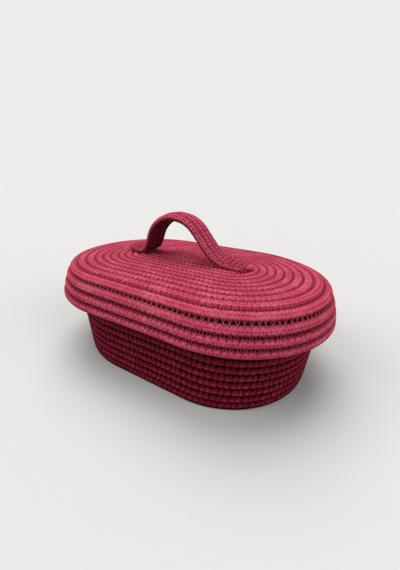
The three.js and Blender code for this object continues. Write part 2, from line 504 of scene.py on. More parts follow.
@dataclass
class Line:
    """A line that a rope or thread follows, with its section's two directions."""

    centre: np.ndarray
    across: np.ndarray
    normal: np.ndarray

    @classmethod
    def facing(cls, centre: np.ndarray, normal: np.ndarray) -> "Line":
        """Makes a line whose sections face one way.

        Args:
            centre: points along it.
            normal: about the way that each section faces.

        Returns:
            The line, with directions square to its own.
        """
        along = unit(np.gradient(centre, axis=0))
        across = unit(np.cross(along, normal))
        return cls(centre, across, np.cross(across, along))


@dataclass
class Tube:
    """A rope or thread with its thickness.

    Attributes:
        line: what it follows.
        half_across: one number, one for each section, or two for each: towards the across
            direction and away from it.
        half_thick: one number, or one for each section.
        sides: the number of sides.
        bias: gathers the sides towards the side that the normal faces, or with a minus
            towards the other.
        flatness: below 1 it makes the section squarer.
        relief: what is added to the size at each section and side.
        marks: numbers for the material, by name.
        ends: how it starts and stops.
        start_length: the length that its UV map starts from.
    """

    line: Line
    half_across: np.ndarray | float
    half_thick: np.ndarray | float
    sides: int
    bias: float = 0.0
    flatness: float = 1.0
    relief: np.ndarray | float = 0.0
    marks: dict[str, np.ndarray] = field(default_factory=dict)
    ends: tuple[End, End] = (End.ROUND, End.ROUND)
    start_length: float = 0.0

    def angles(self) -> np.ndarray:
        """Returns the angles round the section, from the across direction, closed."""
        even = np.linspace(0, TAU, self.sides + 1)
        return even + self.bias * np.cos(even)

    def swell(self, along: np.ndarray) -> np.ndarray:
        """Rounds the ends.

        Args:
            along: how far along each section is.

        Returns:
            The share of the full size that each section has.
        """
        girth = float(min(np.min(self.half_thick), np.min(self.half_across)))
        share = np.ones(len(along))
        for end, inset in zip(self.ends, (along, along[-1] - along)):
            if end is End.ROUND:
                share *= np.sqrt(1 - np.clip(1 - inset / girth, 0, 1) ** 2)
        return share

    def build(self, name: str) -> bpy.types.Object:
        """Makes the mesh.

        Args:
            name: the object's name.

        Returns:
            The tube, closed at both ends.
        """
        angle = self.angles()
        line = self.line
        along = lengths(line.centre)
        half = np.array(self.half_across, float)
        half = half if half.ndim == 2 else np.broadcast_to(half[..., None], (len(along), 2))
        wide = np.where(np.cos(angle) > 0, half[:, :1], half[:, 1:]) + self.relief
        thick = np.broadcast_to(self.half_thick, along.shape)[:, None] + self.relief
        share = self.swell(along)[:, None]
        points = line.centre[:, None]
        for part, size, way in (
            (np.cos(angle), wide, line.across),
            (np.sin(angle), thick, line.normal),
        ):
            rounded = np.sign(part) * abs(part) ** self.flatness
            points = points + (rounded * share * size)[..., None] * way[:, None]
        points[:, -1] = points[:, 0]
        first, last = (
            np.broadcast_to(line.centre[row], (1, *points.shape[1:])) for row in (0, -1)
        )
        marks = {
            mark: np.pad(np.broadcast_to(values, points.shape[:2]), ((1, 1), (0, 0)), "edge")
            for mark, values in self.marks.items()
        }
        points = np.concatenate([first, points, last])
        along = np.concatenate([along[:1], along, along[-1:]])
        uvs = np.empty((*points.shape[:2], 2))
        uvs[..., 0] = (along[:, None] + self.start_length) * MM
        uvs[..., 1] = angle / TAU
        return grid_object(name, points, uvs, marks)


# Stitching


@dataclass(frozen=True)
class Stitch:
    """Sewing over the groove between two ropes that lie side by side.

    A thread goes over the groove from a hole in the first rope to one in the second, then back
    to the first rope's next hole. Angles are measured round each rope from the direction of
    the other one.

    Attributes:
        pitch: the distance between neighbouring holes in one rope.
        skew: how far along a pitch the second rope's hole is, one half for a zigzag.
        crossing: how far along from the first rope's hole a thread is over the groove.
        angle: where the holes are round the rope.
        thread: the thread's half thickness.
        lift: how far the thread's middle is above the dented skin.
        bury: how deep it dives into a hole.
        sag: how far it sinks over the groove.
        dent: how deep the thread pulls the rope in.
        dent_length: half the dent's width.
        dent_angle: how far round it fades past the hole.
        fade_from: how far round from the groove it starts.
        fade_over: how far round it takes to be full.
        follow: the share of its depth that the thread goes down with.
        unevenness: how much deeper some dents are than others.
        depth_wave: how fast that comes and goes, in radians from hole to hole.
        strays: how far along a pitch a slow and a quick wave move the holes.
        stray_waves: how fast these come and go, in radians from hole to hole.
        landing: how far along a leg the thread has come up from its hole, as a share of it.
        leans: the share of a leg's lean that it has there, after a hole in the first rope and
            after one in the second.
    """

    pitch: float = 4.18
    skew: float = 0.5
    crossing: float = 0.25
    angle: float = 64.0
    thread: float = 0.27
    lift: float = 0.12
    bury: float = 0.9
    sag: float = 0.6
    dent: float = 0.95
    dent_length: float = 0.45
    dent_angle: float = 12.0
    fade_from: float = 12.0
    fade_over: float = 20.0
    follow: float = 0.85
    unevenness: float = 0.38
    depth_wave: float = 3.7
    strays: tuple[float, float] = (0.1, 0.08)
    stray_waves: tuple[float, float] = (2.4, 5.3)
    landing: float = 0.16
    leans: tuple[float, float] = (0.85, 0.3)

    def hole(self, number: np.ndarray) -> np.ndarray:
        """Finds how far along a seam a hole is, a little out of step as in hand-guided sewing.

        Args:
            number: whole for the first rope's holes, and skew more for the second's.

        Returns:
            The length.
        """
        slow, quick = (wave * number for wave in self.stray_waves)
        stray = self.strays[0] * np.sin(slow) + self.strays[1] * np.sin(quick + 1)
        return (number + stray) * self.pitch

    def number(self, length: np.ndarray) -> np.ndarray:
        """Counts the holes up to lengths along a seam, with parts of one between two holes."""
        numbers = np.arange(-1, length.max(initial=0) / self.pitch + 2, 0.5)
        return np.interp(length, self.hole(numbers), numbers)

    def path(
        self, rails: tuple[np.ndarray, np.ndarray], face: np.ndarray, radius: float, offset: float
    ) -> Line:
        """Lays the thread.

        Args:
            rails: the middles of the two ropes, at places beside each other.
            face: the way that the sewn side faces, at the same places.
            radius: the ropes' half thickness.
            offset: how long the seam is before the first place.

        Returns:
            The thread's line, down into a rope at each turn.
        """
        reach = lengths((rails[0] + rails[1]) / 2) + offset
        first = np.arange(math.ceil(reach[0] / self.pitch), reach[-1] // self.pitch)
        at = self.hole(np.stack([first, first + self.skew], 1).ravel())

        def sample(values: np.ndarray) -> np.ndarray:
            """Returns the rows of values at the holes."""
            return np.stack([np.interp(at, reach, column) for column in values.T], 1)

        ropes = [sample(rail) for rail in rails]
        toward = unit(ropes[1] - ropes[0])
        out = sample(face)
        out = unit(out - toward * np.sum(out * toward, axis=1, keepdims=True))
        second = (np.arange(len(at)) % 2 == 1)[:, None]
        home = np.where(second, ropes[1], ropes[0])
        lean = np.where(second, -toward, toward)
        angle = math.radians(self.angle)
        skin = home + (radius - self.follow * self.dent) * (
            math.cos(angle) * lean + math.sin(angle) * out
        )
        here, there = skin[:-1], skin[1:]
        out_here, out_there = out[:-1], out[1:]
        up = unit(out_here + out_there)
        onward = unit(np.gradient((ropes[0] + ropes[1]) / 2, axis=0))[:-1]
        lead = (self.crossing - 0.25) * self.pitch * np.where(second[:-1], -1, 1) * onward
        early = np.where(second[:-1], self.leans[1], self.leans[0])
        late = sum(self.leans) - early
        places = [
            here - self.bury * out_here,
            here + self.landing * (there - here) + self.lift * out_here + early * lead,
            (here + there) / 2 + (self.lift - self.sag) * up + lead,
            there + self.landing * (here - there) + self.lift * out_there + late * lead,
        ]
        centre = np.stack(places, 1).reshape(-1, 3)
        return Line.facing(centre, np.repeat(up, 4, axis=0))

    def dents(self, length: np.ndarray, angle: np.ndarray, lag: float = 0.0) -> np.ndarray:
        """Works out how far the thread of one seam pulls the rope in.

        The dent is a V that opens towards the groove, with its point at the hole.

        Args:
            length: for each station, the length along the seam.
            angle: angles round the rope, in degrees from the other rope's direction, in one
                row or in one for each station.
            lag: 0 in the seam's first rope and skew in its second.

        Returns:
            The depth for each station and angle, below nought.
        """
        number = np.round(length / self.pitch - lag) + lag
        nearest = abs(length - self.hole(number))
        depth = self.dent * (1 + self.unevenness * np.sin(self.depth_wave * number))
        turned = abs((angle + 180) % 360 - 180)
        splay = self.skew - self.crossing if lag else self.crossing
        leg = np.clip(1 - turned / self.angle, 0, 1) * splay * self.pitch
        beyond = np.clip(turned - self.angle, 0, None)
        past = np.exp(-((beyond / self.dent_angle) ** 2))
        past *= np.clip((turned - self.fade_from) / self.fade_over, 0, 1)
        off = (nearest[:, None] - leg) / self.dent_length
        return -depth[:, None] * np.exp(-(off**2)) * past


@dataclass(frozen=True)
class Push:
    """A stretch of a winding that is out of true.

    Attributes:
        by: how far it is moved, in millimetres.
        bearing: where its middle is round the basket, in degrees from +X.
        narrow: how narrow it is round the basket, from 0 for all the way.
        turn: the turn that its middle is on.
        reach: how many turns it fades over.
    """

    by: Triple
    bearing: float
    narrow: float
    turn: float
    reach: float

    def at(self, turns: np.ndarray, bearing: np.ndarray) -> np.ndarray:
        """Works out the move.

        Args:
            turns: places.
            bearing: their bearings, in radians.

        Returns:
            The move at each place.
        """
        round_about = np.cos(bearing - math.radians(self.bearing)) - 1
        share = np.exp(self.narrow * round_about - ((turns - self.turn) / self.reach) ** 2)
        return share[:, None] * np.array(self.by)


@dataclass
class Winding:
    """A rope wound in an oval, level by level.

    A place on it is counted in turns. Whole numbers are where its levels start, and places one
    turn apart lie beside each other. It keeps to a level all round, but for the half circle at
    the -X end, where it steps over to the next. From climb_from on it climbs there, rolling
    over the rope below it. It starts a little before its first level, so that its round tip
    fills its first bend.
    """

    radius: np.ndarray
    height: np.ndarray
    straight: np.ndarray
    climb_from: float = math.inf
    shift: tuple[float, float] = (0.0, 0.0)
    pushes: tuple[Push, ...] = ()
    start: float = -0.011

    @property
    def end(self) -> float:
        """The last place, in turns: the end of the last level's straight."""
        return len(self.radius) - 1 + 0.25

    def centre(self, turns: np.ndarray) -> np.ndarray:
        """Finds the rope's middle.

        Args:
            turns: places, from start to end.

        Returns:
            The points.
        """
        turns = np.clip(turns, self.start, self.end)
        last = len(self.radius) - 1
        level = np.clip(np.floor(turns).astype(int), 0, last)
        after = np.minimum(level + 1, last)
        part = np.minimum(((turns - level) * 4).astype(int), 3)
        share = (turns - level) * 4 - part
        turn = math.pi * share
        r0, r1 = self.radius[level], self.radius[after]
        a0, a1 = self.straight[level], self.straight[after]
        z0, z1 = self.height[level], self.height[after]
        step = (1 - np.cos(turn)) / 2
        climb = np.sqrt(1 - np.cos(turn / 2) ** 4)
        climb = np.where(level >= self.climb_from, climb, step)
        mean = (r0 + r1) / 2
        parts = [part == 0, part == 1, part == 2]
        bend_x = a0 + (a1 - a0) * step + mean * np.sin(turn)
        bend_y = (r1 - r0) / 2 - mean * np.cos(turn)
        x = np.select(
            parts, [a0 * (2 * share - 1), bend_x, a1 * (1 - 2 * share)], -a1 - r1 * np.sin(turn)
        )
        y = np.select(parts, [-r0, bend_y, r1], r1 * np.cos(turn))
        z = np.select(parts[:2], [z0, z0 + (z1 - z0) * climb], z1)
        # Half a turn puts the step at the -X end and the rope's ends on the +Y side.
        points = np.stack([self.shift[0] - x, self.shift[1] - y, z], -1)
        bearing = np.arctan2(-y, -x)
        for push in self.pushes:
            points += push.at(turns, bearing)
        return points

    def beside(self, turns: np.ndarray) -> list[tuple[np.ndarray, np.ndarray]]:
        """Returns the places a turn later and a turn earlier, each with where the rope is."""
        return [(at, (at >= 0) & (at <= self.end)) for at in (turns + 1, turns - 1)]

    def line(self, turns: np.ndarray) -> Line:
        """Finds the rope's middle and the section's directions.

        Args:
            turns: places.

        Returns:
            The line, whose across direction points at the next turn's rope.
        """
        small = 1e-3
        centre = self.centre(turns)
        along = unit(self.centre(turns + small) - self.centre(turns - small))
        following, before = (
            np.where(there[:, None], self.centre(at), centre) for at, there in self.beside(turns)
        )
        across = following - before
        across -= along * np.sum(across * along, axis=1, keepdims=True)
        across = unit(across)
        return Line(centre, across, np.cross(across, along))

    def neighbours(self, turns: np.ndarray, line: Line) -> list[np.ndarray]:
        """Finds where the ropes beside each section lie.

        Args:
            turns: places.
            line: the winding's line at those places.

        Returns:
            The angles round the section, in degrees, of the next turn's rope and of the one
            before.
        """
        found = []
        for (at, there), missing in zip(self.beside(turns), (0.0, 180.0)):
            toward = self.centre(at) - line.centre
            up, over = (np.sum(toward * way, axis=1) for way in (line.normal, line.across))
            found.append(np.where(there, np.degrees(np.arctan2(up, over)), missing))
        return found

    def stations(self, start: float, stop: float, spacing: float) -> np.ndarray:
        """Spreads places evenly along the rope.

        Args:
            start: the first place, in turns.
            stop: the last place.
            spacing: the distance between neighbours.

        Returns:
            The places, in turns.
        """
        fine = np.linspace(start, stop, int((stop - start) * FINE) + 2)
        reach = lengths(self.centre(fine))
        even = np.linspace(0, reach[-1], int(reach[-1] / spacing) + 2)
        return np.interp(even, reach, fine)

    def seam_length(self, turns: np.ndarray) -> np.ndarray:
        """Measures along the groove between each place and the one a turn later.

        Args:
            turns: places on the inner or lower rope.

        Returns:
            The groove's length from its start.
        """
        fine = np.linspace(0, self.end - 1, int(self.end * FINE))
        middle = (self.centre(fine) + self.centre(fine + 1)) / 2
        return np.interp(turns, fine, lengths(middle))

    def level(self, turns: np.ndarray) -> np.ndarray:
        """Returns the level of each place, with parts of one where the rope steps over."""
        whole = np.floor(turns)
        return whole + np.clip((turns - whole) * 4 - 1, 0, 1)

    def spread(self, turns: np.ndarray, widest: np.ndarray) -> np.ndarray:
        """Finds how far the rope spreads towards each of its neighbours.

        Args:
            turns: places.
            widest: the most that each level spreads, towards the next turn and the one before.

        Returns:
            Half the width of the rope at each place, towards the next turn and the one before.
        """
        levels = np.arange(len(widest))
        centre = self.centre(turns)
        halves = []
        for side, (at, there) in enumerate(self.beside(turns)):
            distance = np.linalg.norm(self.centre(at) - centre, axis=1)
            own = np.interp(self.level(turns), levels, widest[:, side])
            other = np.interp(self.level(at), levels, widest[:, 1 - side])
            room = distance * own / (own + other) - ROOM
            halves.append(np.where(there, np.minimum(room, own), own))
        return np.stack(halves, 1)


@dataclass(frozen=True)
class Seam:
    """A stretch of sewing between a winding's turns, from start to stop."""

    name: str
    start: float
    stop: float
    stitch: Stitch
    sides: int = 5


@dataclass(frozen=True)
class Fineness:
    """How finely a rope is meshed.

    Attributes:
        spacing: the distance between its sections.
        sides: as in Tube.
        bias: as in Tube.
    """

    spacing: float
    sides: int
    bias: float = 0.0


@dataclass
class SewnCoil:
    """A winding with its rope's size and its seams.

    Attributes:
        winding: the rope's path.
        half_across: for each level, half its width towards the next turn and the one before.
        half_thick: half its thickness.
        seams: its sewing.
        flatness: as in Tube.
        calm_ends: the share of the stitches' pull that the long ends lose.
        dent_shade: the shade of a dent one millimetre deep.
        groove_shade: the shade in a groove.
        groove_angle: how far round the rope that reaches, in degrees.
        under_shade: the shade of the underside.
        under_from: how far above the rope's middle that starts, as a share of its half
            thickness.
        lip_share: the share of it that the last turn has.
        weave_shade: the shade beside the wedges into which the rope swells between holes.
        wedge_taper: the share of a pitch that a wedge has lost on each side at the rope's middle.
        wedge_edge: how sharp its edges are.
    """

    winding: Winding
    half_across: np.ndarray
    half_thick: float
    seams: tuple[Seam, ...]
    flatness: float = 1.0
    calm_ends: float = 0.0
    dent_shade: float = 0.5
    groove_shade: float = 1.0
    groove_angle: float = 30.0
    under_shade: float = 0.3
    under_from: float = 0.2
    lip_share: float = 0.75
    weave_shade: float = 0.0
    wedge_taper: float = 0.42
    wedge_edge: float = 4.0

    def sewing(
        self, turns: np.ndarray, back: int
    ) -> Iterator[tuple[Stitch, np.ndarray, np.ndarray]]:
        """Goes through the seams on one side of the rope.

        Args:
            turns: places.
            back: 0 for the side of the next turn and 1 for that of the one before.

        Yields:
            Each seam's stitch, which of the places it reaches, and how far along it they are.
        """
        at = turns - back
        for seam in self.seams:
            sewn = (at >= seam.start) & (at < seam.stop)
            yield seam.stitch, sewn, self.winding.seam_length(at[sewn])

    def relief(self, turns: np.ndarray, angle: np.ndarray, lie: list[np.ndarray]) -> np.ndarray:
        """Adds up the dents of the seams on both sides of the rope.

        Args:
            turns: places.
            angle: angles round the rope, in radians.
            lie: where the ropes beside each place lie.

        Returns:
            The depth for each place and angle, below nought.
        """
        total = np.zeros((len(turns), len(angle)))
        for back in (0, 1):
            turned = np.degrees(angle) - lie[back][:, None]
            for stitch, sewn, length in self.sewing(turns, back):
                total[sewn] += stitch.dents(length, turned[sewn], back * stitch.skew)
        return total * self.firmness(turns)

    def firmness(self, turns: np.ndarray) -> np.ndarray:
        """Finds how firmly the stitches pull, which is less towards the long ends.

        Args:
            turns: places.

        Returns:
            The share of the full pull at each place.
        """
        winding = self.winding
        reach = abs(winding.centre(turns)[:, 0]) - winding.straight.mean()
        levels = np.arange(len(winding.radius))
        tip = reach / np.maximum(np.interp(turns, levels, winding.radius), 20)
        # It begins about halfway from the straight to the tip, where it is full.
        return 1 - self.calm_ends * np.clip(2.2 * tip - 1.2, 0, 1)[:, None]

    def marks(
        self,
        turns: np.ndarray,
        angle: np.ndarray,
        relief: np.ndarray,
        line: Line,
        lie: list[np.ndarray],
    ) -> dict[str, np.ndarray]:
        """Gathers what the material needs to know of each place.

        Args:
            turns: places.
            angle: angles round the rope, in radians.
            relief: the dents.
            line: the rope's line.
            lie: where the ropes beside each place lie.

        Returns:
            The painted shade, from 0 to 1, for how deep in a dent, groove or underside a place is
            and how far beside a wedge; the stitches counted along the seams after and before the
            rope; where those lie round it; and how firmly sewn it is.
        """
        # Painted shade: darker in the dents, in the grooves and on the undersides, and beside the
        # wedges.
        down = -np.cos(angle) * line.across[:, 2:] - np.sin(angle) * line.normal[:, 2:]
        shade = np.clip(-relief * self.dent_shade, 0, 1)
        followed = np.where(turns + 1 <= self.winding.end, 1, self.lip_share)[:, None]
        shade += self.under_shade * followed * np.clip(down + self.under_from, 0, 1)
        marks = {"sewn": self.firmness(turns)}
        for back, mark in enumerate(("after", "before")):
            there = ((turns >= back) & (turns - back + 1 <= self.winding.end))[:, None]
            count = np.full(len(turns), 0.5)
            for stitch, sewn, length in self.sewing(turns, back):
                count[sewn] = stitch.number(length) - back * stitch.skew
            beside = abs((np.degrees(angle) - lie[back][:, None] + 180) % 360 - 180)
            groove = self.groove_shade * np.exp(-((beside / self.groove_angle) ** 2))
            shade = np.maximum(shade, groove * there)
            if back == 0:
                # The wedge is widest at the groove, and narrows to the middle of the rope.
                off = abs(count - np.floor(count) - 0.5)[:, None]
                inside = 0.5 - self.wedge_taper * beside / 90 - off
                wedge = np.clip(self.wedge_edge * inside + 0.5, 0, 1)
                shade = np.maximum(shade, self.weave_shade * (1 - wedge) * there)
            marks[mark] = count[:, None]
            marks[f"{mark}_turn"] = lie[back][:, None] / 360
        return marks | {"shade": np.clip(shade, 0, 1)}

    def ropes(
        self, stretches: dict[str, tuple[float, float]], fineness: Fineness
    ) -> list[bpy.types.Object]:
        """Makes stretches of the rope.

        Args:
            stretches: each one's name, with its first and last place in turns.
            fineness: how finely they are meshed.

        Returns:
            The meshes.
        """
        winding = self.winding
        made = []
        for name, (start, stop) in stretches.items():
            turns = winding.stations(start, stop, fineness.spacing)
            line = winding.line(turns)
            lie = winding.neighbours(turns, line)
            tube = Tube(
                line,
                winding.spread(turns, self.half_across),
                self.half_thick,
                fineness.sides,
                fineness.bias,
                self.flatness,
                ends=(
                    End.ROUND if start == winding.start else End.CUT,
                    End.ROUND if stop == winding.end else End.CUT,
                ),
                start_length=start * TURN_LENGTH,
            )
            tube.relief = self.relief(turns, tube.angles(), lie)
            tube.marks = self.marks(turns, tube.angles(), tube.relief, line, lie)
            made.append(tube.build(name))
        return made

    def threads(self, outside: int) -> list[bpy.types.Object]:
        """Makes the thread of every seam, on both faces.

        Args:
            outside: 1 where the outside is the side that the section's normal faces, or -1.

        Returns:
            The threads' meshes.
        """
        winding = self.winding
        made = []
        for seam in self.seams:
            fine = np.linspace(seam.start, seam.stop, int((seam.stop - seam.start) * FINE))
            offset = float(winding.seam_length(fine[:1])[0])
            line = winding.line(fine)
            rails = (line.centre, winding.centre(fine + 1))
            for side, face, sides in ((outside, "outside", seam.sides), (-outside, "inside", 4)):
                stitch = seam.stitch
                path = stitch.path(rails, line.normal * side, self.half_thick, offset)
                tube = Tube(path, stitch.thread, stitch.thread, sides)
                made.append(tube.build(f"{seam.name}_{face}"))
        return made


@dataclass
class BasketBody:
    """The floor and wall: one rope coiled flat and then upward."""

    floor_half_length: float = 113.5
    floor_half_width: float = 78.5
    rim_half_length: float = 118.0
    rim_half_width: float = 74.0
    rope_half: float = 3.12
    slack: float = 0.2
    floor_level: float = 2.9
    floor_coils: int = 12
    corner_rise: float = 5.3
    shown_rise: float = 6.3
    shown_coils: int = 6
    hidden_rise: float = 5.95
    hidden_coils: int = 5
    # Half a turn before its level the lowest coil of the wall is already at the front.
    corner_lead: float = 0.6
    # The turns left free between the floor's seam and the wall's.
    corner_seam: float = 0.02
    floor_mesh: Fineness = Fineness(1.6, 14)
    wall_mesh: Fineness = Fineness(0.5, 20, -0.35)
    shift: tuple[float, float] = (3.0, 0.6)
    pushes: tuple[Push, ...] = (
        Push((-6.0, 0.0, 0.0), 180, 2.0, 19.0, 4.5),
        Push((0.0, 0.0, 0.5), 300, 3.0, 17.0, 3.0),
        Push((0.0, -0.6, 0.0), 250, 6.0, 16.0, 3.0),
        Push((0.4, 0.5, 0.0), 20, 5.0, 20.0, 3.0),
    )
    stitch: Stitch = Stitch(
        pitch=SHADED_BODY_BRAID.pitch, angle=SHADED_BODY_BRAID.hole_angle, dent=0.6, dent_length=0.4
    )

    @property
    def corner(self) -> float:
        """The place, in turns, where the floor turns into the wall."""
        return self.floor_coils - self.corner_lead

    def coil(self) -> SewnCoil:
        """Lays out the rope's levels and seams.

        Returns:
            The coil.
        """
        floor_radius = self.floor_half_width - self.rope_half
        rim_radius = self.rim_half_width - self.rope_half
        floor_straight = self.floor_half_length - self.floor_half_width
        rim_straight = self.rim_half_length - self.rim_half_width
        rises = [self.corner_rise]
        rises += [self.shown_rise] * self.shown_coils
        rises += [self.hidden_rise] * self.hidden_coils
        wall = self.floor_level + np.cumsum(rises)
        share = (wall - self.floor_level) / (wall[-1] - self.floor_level)
        floor = np.linspace(0, 1, self.floor_coils + 1)
        radii = floor * floor_radius, floor_radius + share * (rim_radius - floor_radius)
        heights = np.full(len(floor), self.floor_level), wall
        straights = (
            np.full(len(floor), floor_straight),
            floor_straight + share * (rim_straight - floor_straight),
        )
        levels = (np.concatenate(both) for both in (radii, heights, straights))
        winding = Winding(*levels, self.floor_coils, self.shift, self.pushes)
        flat = replace(self.stitch, dent=0.4, angle=58.0)
        return SewnCoil(
            winding,
            np.full((len(winding.radius), 2), self.rope_half + self.slack),
            self.rope_half,
            (
                Seam("floor_seam", 0.0, self.corner, flat, 4),
                Seam("wall_seam", self.corner + self.corner_seam, winding.end - 1, self.stitch),
            ),
            dent_shade=0.75,
            groove_angle=34.0,
            under_shade=1.5,
            under_from=0.56,
            weave_shade=0.38,
        )

    def build(self) -> list[bpy.types.Object]:
        """Makes the rope in stretches, and its seams.

        Returns:
            The pieces, dressed and riding on their body.
        """
        coil = self.coil()
        corner = self.corner
        walls = {
            "wall_coils_low": (corner, corner + 3.0),
            "wall_coils_middle": (corner + 3.0, corner + 6.0),
            "wall_coils_upper": (corner + 6.0, corner + 9.0),
            "wall_coils_high": (corner + 9.0, coil.winding.end),
        }
        floor = {"floor_coils": (coil.winding.start, corner)}
        ropes = coil.ropes(floor, self.floor_mesh) + coil.ropes(walls, self.wall_mesh)
        seams = coil.threads(-1)
        for rope in ropes:
            rope.data.materials.append(SHADED_BODY_BRAID.material())
            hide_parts("base_rope")
        for seam in seams:
            seam.data.materials.append(SHADED_BODY_THREAD.material())
        for piece in ropes + seams:
            stand_on_floor(piece)
            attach(piece, "basket")
        return ropes + seams


@dataclass
class Lid:
    """The lid: one rope coiled flat, over the shoulder and down the flared skirt."""

    pitches: tuple[float, ...] = (7.0, 6.9, 6.9, 6.8, 6.8, 6.7, 6.8, 6.9, 7.7, 8.0)
    rim_straight: float = 42.8
    seat_level: float = 82.4
    dome_rise: float = 1.1
    # From the shoulder on, each level's distance and its slope below the one before.
    steps: tuple[tuple[float, float], ...] = ((7.3, 21.0), (8.7, 64.0), (7.7, 71.0), (6.5, 78.0))
    half_across: float = 3.7
    skirt_halves: Triple = (4.1, 3.6, 3.0)
    half_thick: float = 3.4
    slack: float = 0.5
    flatness: float = 0.84
    # The open groove starts in the half circle at -X, a quarter to half a turn into a level.
    opening_lag: float = 0.42
    mesh: Fineness = Fineness(0.46, 20, 0.35)
    shift: tuple[float, float] = (-1.5, -0.5)
    pushes: tuple[Push, ...] = (
        Push((0.6, 0.2, 1.0), 200, 1.6, 12.8, 1.6),
        Push((0.4, 0.5, 1.35), 230, 1.2, 11.6, 0.45),
        Push((0.2, 0.25, 0.6), 230, 1.2, 12.6, 0.45),
        Push((0.0, 0.4, 0.5), 225, 2.5, 10.6, 0.5),
        Push((0.9, 0.0, 0.0), 0, 3.0, 9.5, 2.5),
        Push((0.0, -0.5, -0.4), 240, 8.0, 13.6, 1.0),
        Push((0.0, 0.0, 0.6), 285, 9.0, 13.4, 1.2),
    )
    stitch: Stitch = Stitch(dent=0.75)
    tie: Stitch = Stitch(dent=0.3, crossing=0.47, angle=52.0, sag=0.1, thread=0.24)

    def halves(self) -> np.ndarray:
        """Works out how wide the rope may be at each level.

        Towards the open groove or nothing the rope keeps its size, and elsewhere it spreads.

        Returns:
            Half its width at each level, towards the next turn and the one before.
        """
        flat = np.full((len(self.pitches) + 2, 2), self.half_across + self.slack)
        flat[-1, 0] = self.half_across
        skirt = np.repeat(np.array(self.skirt_halves)[:, None], 2, axis=1) + self.slack
        skirt[0, 1] -= self.slack
        skirt[-1, 0] -= self.slack
        return np.concatenate([flat, skirt])

    def coil(self) -> SewnCoil:
        """Lays out the rope's levels and seams.

        Returns:
            The coil.
        """
        radius = np.concatenate([[0], np.cumsum(self.pitches)])
        share = np.linspace(0, 1, len(radius))
        height = self.seat_level + self.dome_rise * (1 - share**3)
        radius, height = list(radius), list(height)
        for distance, slope in self.steps:
            radius.append(radius[-1] + distance * math.cos(math.radians(slope)))
            height.append(height[-1] - distance * math.sin(math.radians(slope)))
        winding = Winding(
            np.array(radius),
            np.array(height),
            np.full(len(radius), self.rim_straight),
            shift=self.shift,
            pushes=self.pushes,
        )
        opening = len(self.pitches) + self.opening_lag
        return SewnCoil(
            winding,
            self.halves(),
            self.half_thick,
            (
                Seam("lid_top_seam", 0.0, opening, self.stitch),
                Seam("lid_gap_seam", opening, opening + 1, self.tie),
                Seam("lid_skirt_seam", opening + 1, winding.end - 1, self.stitch),
            ),
            self.flatness,
            calm_ends=0.6,
            dent_shade=0.8,
            groove_angle=33.0,
            under_shade=1.8,
        )

    def build(self) -> list[bpy.types.Object]:
        """Makes the rope in stretches, and its seams.

        Returns:
            The pieces, dressed and riding on their body.
        """
        coil = self.coil()
        stretches = {
            "lid_coils_middle": (coil.winding.start, 6.0),
            "lid_coils_outer": (6.0, 9.0),
            "lid_coils_shoulder": (9.0, 12.0),
            "lid_skirt_coils": (12.0, coil.winding.end),
        }
        ropes = coil.ropes(stretches, self.mesh)
        seams = coil.threads(1)
        for rope in ropes:
            rope.data.materials.append(LID_BRAID.material())
            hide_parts("lid_rope")
        for seam in seams:
            thread = GAP_THREAD if "gap" in seam.name else LID_THREAD
            seam.data.materials.append(thread.material())
        for piece in ropes + seams:
            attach(piece, "lid")
        return ropes + seams


